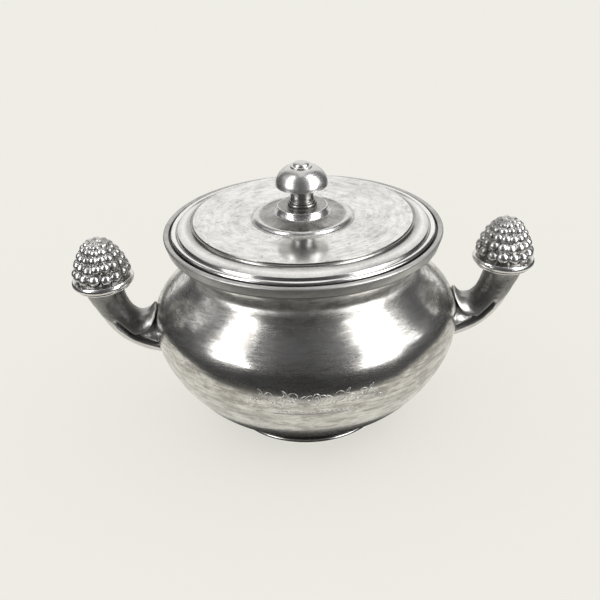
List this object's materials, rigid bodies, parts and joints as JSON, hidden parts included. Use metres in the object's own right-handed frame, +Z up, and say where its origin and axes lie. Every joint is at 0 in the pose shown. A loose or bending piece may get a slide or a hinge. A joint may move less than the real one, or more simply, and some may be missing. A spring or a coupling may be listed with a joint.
{
  "type": "covered sugar bowl",
  "caption": "Round-bellied silver sugar bowl with a foot ring, a lift-off lid with a turned knob, and upturned horn handles that end in beaded acorn knops",
  "frame": {"origin": "middle of the circle that the foot stands on, at table height", "axes": "+Z up along the bowl's axis, +X towards one handle, the two handles lie along X"},
  "size_m": [0.183, 0.12, 0.1085],
  "materials": {
    "bowl_silver": "fine-brushed satin, lightly tarnished",
    "rim_silver": "polished, lightly worn",
    "lid_silver": "bright satin with swirl marks",
    "knob_silver": "polished, lightly worn",
    "inner_silver": "polished, lightly worn",
    "foot_silver": "polished, lightly worn",
    "cast_silver": "cast, satin, darkened",
    "collar_silver": "polished, lightly worn",
    "acorn_silver": "cast, polished highlights over dark recesses",
    "fastener_brass": "turned"
  },
  "bodies": {
    "bowl": {"bowl_shell": "bowl_silver", "rim_band": "rim_silver", "seat_ring": "rim_silver", "foot_ring": "foot_silver", "foot_wire": "foot_silver", "left_horn": "cast_silver", "left_horn_leaf": "cast_silver", "left_horn_root": "cast_silver", "left_horn_collar": "collar_silver", "left_acorn": "acorn_silver", "left_acorn_dowel": "fastener_brass", "right_horn": "cast_silver", "right_horn_leaf": "cast_silver", "right_horn_root": "cast_silver", "right_horn_collar": "collar_silver", "right_acorn": "acorn_silver", "right_acorn_dowel": "fastener_brass"},
    "lid": {"lid_plate": "lid_silver", "lid_lip": "rim_silver", "lid_flange": "inner_silver", "lid_boss": "lid_silver", "boss_disc": "lid_silver", "knob_stem": "knob_silver", "knob_base": "knob_silver", "knob_dome": "knob_silver", "knob_ring": "knob_silver", "knob_button": "knob_silver", "knob_stud": "fastener_brass", "knob_washer": "fastener_brass", "knob_nut": "fastener_brass"}
  },
  "joints": [
    {"name": "lid_lift", "type": "slide", "parent": "bowl", "child": "lid", "axis": [0, 0, 1], "range_m": [0, 0.08]}
  ]
}
